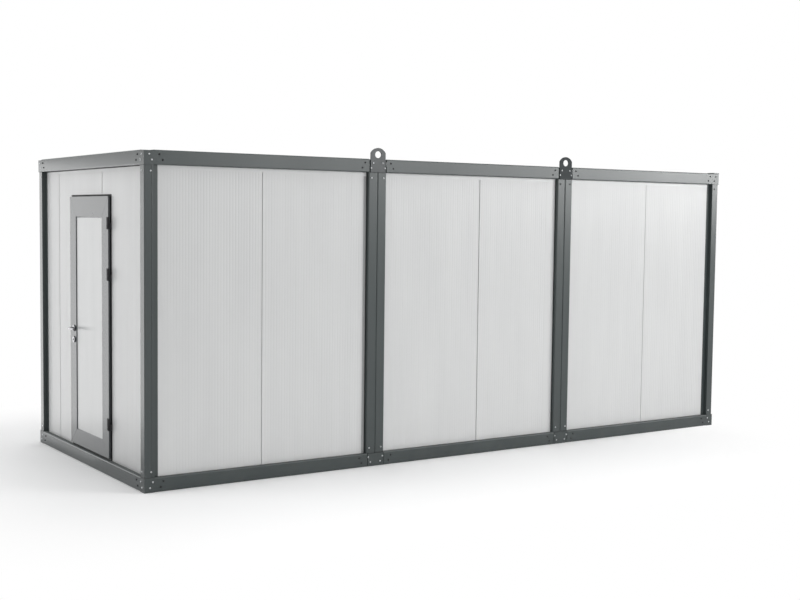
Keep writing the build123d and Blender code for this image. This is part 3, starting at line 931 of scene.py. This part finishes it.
def add_leaf_members():
    """Two stiles and two rails; the bottom rail has no rebate."""
    leaf = Heap()
    for edge, inward in ((LEAF_LEFT, STILE), (LEAF_RIGHT, -STILE)):
        low = mitre((edge, LEAF_BOTTOM), (inward, BOTTOM_RAIL), STILE)
        high = mitre((edge, LEAF_TOP), (inward, -TOP_RAIL), STILE)
        leaf_member(leaf, STILE, LEAF_REBATE, low, high, (0, 1))
    for level, inward, width, rebate in (
        (LEAF_BOTTOM, BOTTOM_RAIL, BOTTOM_RAIL, 0), (LEAF_TOP, -TOP_RAIL, TOP_RAIL, LEAF_REBATE),
    ):
        left = mitre((LEAF_LEFT, level), (STILE, inward), width)
        right = mitre((LEAF_RIGHT, level), (-STILE, inward), width)
        leaf_member(leaf, width, rebate, left, right, (1, 0))
    piece("door_leaf_members", leaf, door_paint, "door_leaf", stands_for=["door_leaf_frame"])


def add_infill_sheet():
    sheet = Heap()
    inset = STILE + SHEET_PLAY
    bevelled_box(
        sheet, (LEAF_LEFT + inset, LEAF_FACE + BEVEL, LEAF_BOTTOM + BOTTOM_RAIL + SHEET_PLAY),
        (LEAF_RIGHT - inset, INFILL_FACE - SHEET_BACK_PLAY, LEAF_TOP - TOP_RAIL - SHEET_PLAY),
        SHEET_BEVEL, door_place,
    )
    piece("infill_sheet", sheet, door_panel, "door_leaf")


add_leaf_members()
add_infill_sheet()


# Handles

LEVER_RADIUS = 9.5
LEVER_LENGTH = 128
LEVER_STAND_OFF = 50
LEVER_BEND = 15
LEVER_BEND_STEPS = 8
LEVER_DOME = 5
LEVER_SIDES = 24
LEVER_SHARP_FROM = 40
DOME_STEPS = (0.35, 0.7, 1.0)
ROSE_RADIUS = 26
ROSE_HEIGHT = 9
ROSE_SIDES = 40
ROSE_EDGE = (
    (ROSE_RADIUS, 0), (ROSE_RADIUS, 6.2), (ROSE_RADIUS - 0.8, 8.0), (ROSE_RADIUS - 2.6, ROSE_HEIGHT),
)
ROSE_PROFILE = ROSE_EDGE + ((13.2, ROSE_HEIGHT), (12.6, 9.6), (11.0, 9.6), (10.4, ROSE_HEIGHT))
KEY_RISE = 13.0
KEY_PROFILE = ROSE_EDGE + ((9.2, ROSE_HEIGHT), (8.5, ROSE_HEIGHT), (8.5, 12.4), (7.9, KEY_RISE))
# A black ring round each rose's foot: a painted dark reflection in the chrome rim.
REFLECTION_RING_PROFILE = ((ROSE_RADIUS + 0.4, 0), (ROSE_RADIUS + 0.4, 5.8), (ROSE_RADIUS - 0.2, 6.2))
SLOT_HALF = 1.1
SLOT_DOWN, SLOT_UP = 5.5, 4.5
SLOT_PROUD = 0.25
SLOT_BEVEL = 0.1


def tube(heap, path, radius, sides, dome):
    """A round bar along a level path of points, with domed ends."""
    stations = []
    for k, point in enumerate(path):
        before = path[max(k - 1, 0)]
        after = path[min(k + 1, len(path) - 1)]
        stations.append((point, (after - before).normalized(), radius))
    first, first_way, _ = stations[0]
    last, last_way, _ = stations[-1]
    for step in DOME_STEPS:
        angle = step * math.pi / 2
        length = dome * math.sin(angle)
        size = radius - dome * (1 - math.cos(angle))
        stations.insert(0, (first - first_way * length, first_way, size))
        stations.append((last + last_way * length, last_way, size))
    up = Vector(UP)
    angles = [2 * math.pi * k / sides for k in range(sides)]
    rings = []
    for point, along, size in stations:
        across = along.cross(up).normalized()
        rings.append([point + (across * math.cos(a) + up * math.sin(a)) * size for a in angles])
    skin(heap, rings)


def rounded_path(corners, radius, steps):
    """Points along straight runs whose corners are rounded off."""
    corners = [Vector(corner) for corner in corners]
    path = [corners[0]]
    for before, here, after in zip(corners, corners[1:], corners[2:]):
        into = (here - before).normalized()
        out = (after - here).normalized()
        centre = here - into * radius + out * radius
        for step in range(steps + 1):
            angle = step / steps * math.pi / 2
            path.append(centre + into * radius * math.sin(angle) - out * radius * math.cos(angle))
    path.append(corners[-1])
    return path


def add_lever_bars():
    """One bar that is the outer lever, the spindle and the inner lever."""
    tip = LEVER_U + LEVER_LENGTH - LEVER_DOME
    outside, inside = LEAF_FACE - LEVER_STAND_OFF, LEAF_BACK + LEVER_STAND_OFF
    route = [(tip, outside), (LEVER_U, outside), (LEVER_U, inside), (tip, inside)]
    path = rounded_path([door_place(u, d, LEVER_Z) for u, d in route], LEVER_BEND, LEVER_BEND_STEPS)
    lever = Heap()
    tube(lever, path, LEVER_RADIUS, LEVER_SIDES, LEVER_DOME)
    piece(
        "door_lever_bars", lever, handle_chrome, "door_lever", smooth=LEVER_SHARP_FROM,
        stands_for=["door_levers"],
    )


def add_roses():
    """Roses for lever and key on both faces, each on a black ring that paints a dark reflection into its rim,
    and the slots of the lock cylinder.
    """
    roses, reflection_rings, slots = Heap(), Heap(), Heap()
    for face, outward in ((LEAF_FACE, -1), (LEAF_BACK, 1)):
        out = Vector(door_place(0, outward, 0)) - Vector(door_place(0, 0, 0))
        for level, profile in ((LEVER_Z, ROSE_PROFILE), (KEY_Z, KEY_PROFILE)):
            lathe(roses, door_place(LEVER_U, face, level), out, profile, ROSE_SIDES)
            lathe(reflection_rings, door_place(LEVER_U, face, level), out, REFLECTION_RING_PROFILE, ROSE_SIDES)
        rise = face + outward * KEY_RISE
        near, far = sorted((rise, rise + outward * SLOT_PROUD))
        low = (LEVER_U - SLOT_HALF, near, KEY_Z - SLOT_DOWN)
        high = (LEVER_U + SLOT_HALF, far, KEY_Z + SLOT_UP)
        bevelled_box(slots, low, high, SLOT_BEVEL, door_place)
    piece(
        "door_rose_discs", roses, handle_chrome, "door_leaf", smooth=SHARP_FROM,
        stands_for=["door_roses"],
    )
    piece("rose_reflection_rings", reflection_rings, bolt_black, "door_leaf", smooth=SHARP_FROM)
    piece("key_slots", slots, hinge_paint, "door_leaf")


add_lever_bars()
add_roses()


# Hinges

HINGE_BESIDE = 12
HINGE_U, HINGE_D = LEAF_RIGHT + HINGE_BESIDE, 12
HINGE_RADIUS = 8
HINGE_NECK = HINGE_RADIUS - 0.5
HINGE_TIP = ((4.5, 0), (7, 1.2), (HINGE_RADIUS, 3.2))
HINGE_PARTING = 0.2
PIN_SHOULDER, PIN_NECK = 2.4, 2
SLEEVE_SHOULDER = 1.2
HINGE_SIDES = 28
HINGE_BEVEL = 0.8
ARM_PLAY = 0.4
ARM_LAP = 2
PLATE_WIDTH, PLATE_THICKNESS = 32, 3
PLATE_FACE = LEAF_FACE - PLATE_THICKNESS
PLATE_SCREW_IN = 18
PLATE_SCREW_UP = 16
PLATE_SCREW_PROFILE = ((6.0, 0), (5.4, 1.0), (3.4, 1.9), (1.6, 2.1))
PLATE_SCREW_SIDES = 20


def add_hinges():
    """Lift-off hinges: the leaf's sleeves turn on the frame's pins."""
    pins, sleeves, screws = Heap(), Heap(), Heap()
    foot = door_place(HINGE_U, HINGE_D, 0)
    out = Vector(door_place(0, -1, 0)) - Vector(door_place(0, 0, 0))
    for level in HINGE_LEVELS:
        low, high = level - HINGE_HEIGHT / 2, level + HINGE_HEIGHT / 2
        pin = [(radius, low + rise) for radius, rise in HINGE_TIP]
        pin += [(HINGE_RADIUS, level - PIN_SHOULDER), (HINGE_NECK, level - PIN_NECK)]
        pin += [(HINGE_NECK, level - HINGE_PARTING)]
        lathe(pins, foot, UP, pin, HINGE_SIDES)
        bevelled_box(
            pins, (OPENING_RIGHT, HINGE_D, low), (LIP_RIGHT, LIP_FACE, level - ARM_PLAY),
            HINGE_BEVEL, door_place,
        )
        sleeve = [(HINGE_NECK, level + HINGE_PARTING), (HINGE_RADIUS, level + SLEEVE_SHOULDER)]
        sleeve += [(radius, high - rise) for radius, rise in reversed(HINGE_TIP)]
        lathe(sleeves, foot, UP, sleeve, HINGE_SIDES)
        for left, right, bottom in (
            (LEAF_RIGHT - PLATE_WIDTH, LEAF_RIGHT, low), (LEAF_RIGHT - ARM_LAP, HINGE_U, level + ARM_PLAY),
        ):
            bevelled_box(
                sleeves, (left, PLATE_FACE, bottom), (right, LEAF_FACE, high), HINGE_BEVEL, door_place
            )
        for z in (low + PLATE_SCREW_UP, level, high - PLATE_SCREW_UP):
            place = door_place(LEAF_RIGHT - PLATE_SCREW_IN, PLATE_FACE, z)
            lathe(screws, place, out, PLATE_SCREW_PROFILE, PLATE_SCREW_SIDES)
    piece(
        "hinge_pin_halves", pins, hinge_paint, "cabin", smooth=SHARP_FROM,
        stands_for=["hinge_frame_halves"],
    )
    piece(
        "hinge_sleeve_halves", sleeves, hinge_paint, "door_leaf", smooth=SHARP_FROM,
        stands_for=["hinge_leaf_halves"],
    )
    piece("hinge_screws", screws, bolt_black, "door_leaf", smooth=SHARP_FROM)


add_hinges()


# Floor and background, in metres; the floor keeps its shade in a rectangle round the cabin's shadow

FLOOR_HALF = 60.0
FLOOR_LEVEL = -0.0006
FLOOR_COLOR = (0.97, 0.97, 0.97, 1.0)
WHITE = (1.0, 1.0, 1.0, 1.0)
SHADE_MIDDLE = (-0.85, 0.0, 0.0)
SHADE_HALF = (1.95, HALF_WIDTH * MM, 0.0)
WHITE_FROM = 0.3
WHITE_TO = 2.2
SKY_COLOR = (0.98, 0.99, 1.0, 1.0)
SKY_STRENGTH = 0.28


def direct_rays(tree):
    """1 for rays from the camera, from gloss and through glass, and 0 for those that only carry light."""
    path = new_node(tree, "LightPath")
    value = path.outputs["Is Camera Ray"]
    for name in ("Is Glossy Ray", "Is Transmission Ray"):
        value = calculate(tree, "MAXIMUM", value, path.outputs[name])
    return value


def mix_shaders(tree, factor, one, two, out):
    """Two shaders mixed by a factor, as the output's surface."""
    mix = new_node(tree, "MixShader")
    tree.links.new(factor, mix.inputs["Fac"])
    tree.links.new(one, mix.inputs[1])
    tree.links.new(two, mix.inputs[2])
    tree.links.new(mix.outputs["Shader"], out.inputs["Surface"])


def white_share(tree):
    """0 on the shaded rectangle and close to it, and 1 farther out."""
    vector = new_node(tree, "NewGeometry").outputs["Position"]
    for operation, constant in (
        ("SUBTRACT", SHADE_MIDDLE), ("ABSOLUTE", None),
        ("SUBTRACT", SHADE_HALF), ("MAXIMUM", (0.0, 0.0, 0.0)),
    ):
        step = new_node(tree, "VectorMath")
        step.operation = operation
        tree.links.new(vector, step.inputs[0])
        if constant is not None:
            step.inputs[1].default_value = constant
        vector = step.outputs["Vector"]
    distance = new_node(tree, "VectorMath")
    distance.operation = "LENGTH"
    tree.links.new(vector, distance.inputs[0])
    fade = new_node(tree, "MapRange", From_Min=WHITE_FROM, From_Max=WHITE_TO)
    fade.interpolation_type = "SMOOTHSTEP"
    tree.links.new(distance.outputs["Value"], fade.inputs["Value"])
    return fade.outputs["Result"]


def add_floor():
    """A pale floor that the camera sees go over to white."""
    material = bpy.data.materials.new("ground")
    material.use_nodes = True
    tree = material.node_tree
    tree.nodes.clear()
    out = new_node(tree, "OutputMaterial")
    shade = new_node(tree, "BsdfDiffuse", Color=FLOOR_COLOR)
    white = new_node(tree, "Emission", Color=WHITE, Strength=1.0)
    far = calculate(tree, "MULTIPLY", white_share(tree), direct_rays(tree))
    mix_shaders(tree, far, shade.outputs["BSDF"], white.outputs["Emission"], out)
    mesh = bpy.data.meshes.new("ground")
    corners = ((-1, -1), (1, -1), (1, 1), (-1, 1))
    points = [(x * FLOOR_HALF, y * FLOOR_HALF, FLOOR_LEVEL) for x, y in corners]
    mesh.from_pydata(points, [], [tuple(range(len(points)))])
    mesh.materials.append(material)
    ground_object = bpy.data.objects.new("ground", mesh)
    bpy.context.scene.collection.objects.link(ground_object)


def add_background():
    """Plain white to look at, and a soft even light on everything."""
    world = bpy.data.worlds.new("studio")
    bpy.context.scene.world = world
    world.use_nodes = True
    tree = world.node_tree
    tree.nodes.clear()
    out = new_node(tree, "OutputWorld")
    seen = new_node(tree, "Background", Color=WHITE, Strength=1.0)
    lit = new_node(tree, "Background", Color=SKY_COLOR, Strength=SKY_STRENGTH)
    mix_shaders(tree, direct_rays(tree), lit.outputs["Background"], seen.outputs["Background"], out)


add_floor()
add_background()


# Lamps


def softbox(name, toward, away, aim, size, radiance, light, gloss):
    """A large rectangular lamp, some metres away from its aim in a direction, that faces it.

    It lights surfaces, is mirrored in glossy ones, or both.
    """
    lamp = bpy.data.lights.new(name, "AREA")
    lamp.shape = "RECTANGLE"
    lamp.size, lamp.size_y = size
    lamp.energy = radiance * math.pi * size[0] * size[1]
    obj = bpy.data.objects.new(name, lamp)
    obj.location = Vector(aim) + Vector(toward).normalized() * away
    obj.rotation_euler = (-Vector(toward)).to_track_quat("-Z", "Y").to_euler()
    obj.visible_camera = False
    obj.visible_diffuse = light
    obj.visible_glossy = gloss
    bpy.context.scene.collection.objects.link(obj)


# Each row: name, direction from the aim, distance, aim, width and height, radiance
LIT_AND_MIRRORED = (
    ("key_box", (-0.50, -0.80, 0.22), 16.0, (-1.5, -1.2, 1.2), (12.9, 5.5), 1.5),
    ("left_box", (-0.60, 0.20, 0.80), 11.0, (-3.5, 0.0, 0.6), (5.0, 4.0), 3.6),
    ("back_box", (0.35, 0.90, 0.35), 12.0, (0.0, 1.2, 1.2), (9.0, 5.0), 3.0),
    ("top_box", (0.0, 0.0, 1.0), 9.0, (-1.5, -0.5, 0.0), (13.0, 11.0), 1.25),
)
LIT_ONLY = (
    ("low_box", (0.0, -1.0, 0.0), 2.4, (0.2, -1.2, 0.25), (8.0, 0.4), 2.2),
    ("fill_box", (0.45, -0.80, 0.40), 9.0, (3.0, -1.2, 1.2), (5.0, 4.5), 6.2),
)
MIRRORED_ONLY = (
    ("left_back_box", (-0.36, 0.93, 0.0), 2.0, (-3.0, 0.0, 1.25), (3.6, 2.53), 1.32),
    ("floor_sheet", (0.0, 0.0, -1.0), 0.997, (-4.35, 1.0, 1.0), (2.5, 1.7), 0.50),
    ("front_box", (0.42, -0.91, 0.12), 12.0, (0.0, -1.2, 2.3), (5.0, 2.8), 3.5),
    ("front_right_box", (0.66, -0.75, 0.12), 12.0, (1.5, -1.2, 2.3), (4.0, 2.8), 6.0),
    ("right_box", (0.756, -0.655, 0.12), 12.0, (3.0, -1.2, 2.3), (2.6, 2.8), 10.8),
)
for rows, light, gloss in (
    (LIT_AND_MIRRORED, True, True), (LIT_ONLY, True, False), (MIRRORED_ONLY, False, True),
):
    for row in rows:
        softbox(*row, light, gloss)


# Camera, at the place and turn that the photograph's perspective gives

LENS = 55.5117
SENSOR = 36.0
CLIP_END = 200.0
CAMERA_PLACE = (-6.42307, -9.60485, 2.03307)
CAMERA_RIGHT = (0.83030606, -0.55718084, 0.01188952)
CAMERA_DOWN = (-0.02735238, -0.06204987, -0.99769818)
CAMERA_FORWARD = (0.55663605, 0.82806964, -0.06676060)

camera_data = bpy.data.cameras.new("camera")
camera_data.sensor_fit = "HORIZONTAL"
camera_data.sensor_width = SENSOR
camera_data.lens = LENS
camera_data.clip_end = CLIP_END
camera = bpy.data.objects.new("camera", camera_data)
camera_axes = Matrix((Vector(CAMERA_RIGHT), -Vector(CAMERA_DOWN), -Vector(CAMERA_FORWARD))).transposed()
camera.matrix_world = Matrix.Translation(Vector(CAMERA_PLACE)) @ camera_axes.to_4x4()
bpy.context.scene.collection.objects.link(camera)
bpy.context.scene.camera = camera
bpy.context.scene.view_settings.view_transform = "Standard"
